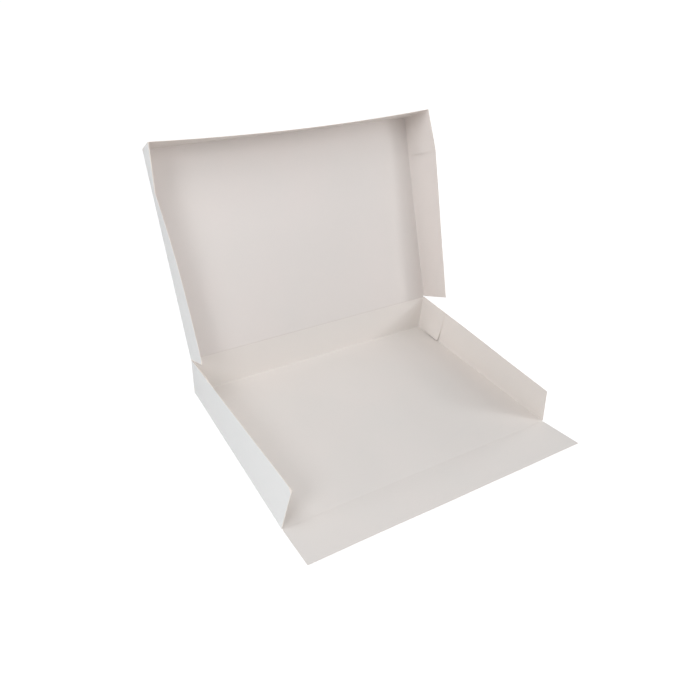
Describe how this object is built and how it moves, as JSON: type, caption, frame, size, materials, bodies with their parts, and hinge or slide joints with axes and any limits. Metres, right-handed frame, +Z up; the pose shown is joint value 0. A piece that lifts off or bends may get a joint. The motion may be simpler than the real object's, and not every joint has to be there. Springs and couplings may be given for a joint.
{
  "type": "folded food box tray with hinged lid",
  "caption": "Shallow folded board food tray with a one-piece hinged lid standing open and its front wall laid down as a flap.",
  "frame": {"origin": "centre of the floor's underside, on the surface that the tray stands on", "axes": "+X to the right along the creases, +Y from the front flap towards the back wall and lid hinge, +Z up"},
  "size_m": [0.5862, 0.6062, 0.4577],
  "materials": {
    "board": "matt solid board, smooth white outside, slightly warm uncoated inside"
  },
  "bodies": {
    "tray": {"tray": "board"},
    "lid": {"lid": "board"},
    "front_flap": {"front_flap": "board"}
  },
  "joints": [
    {"name": "lid_hinge", "type": "hinge", "parent": "tray", "child": "lid", "pos_m": [0, 0.1872, 0.0805], "axis": [1, 0, 0], "range_deg": [-78, 113.7]},
    {"name": "flap_hinge", "type": "hinge", "parent": "tray", "child": "front_flap", "pos_m": [0, -0.1875, 0.0003], "axis": [-1, 0, 0], "range_deg": [-6.7, 83.3]}
  ]
}
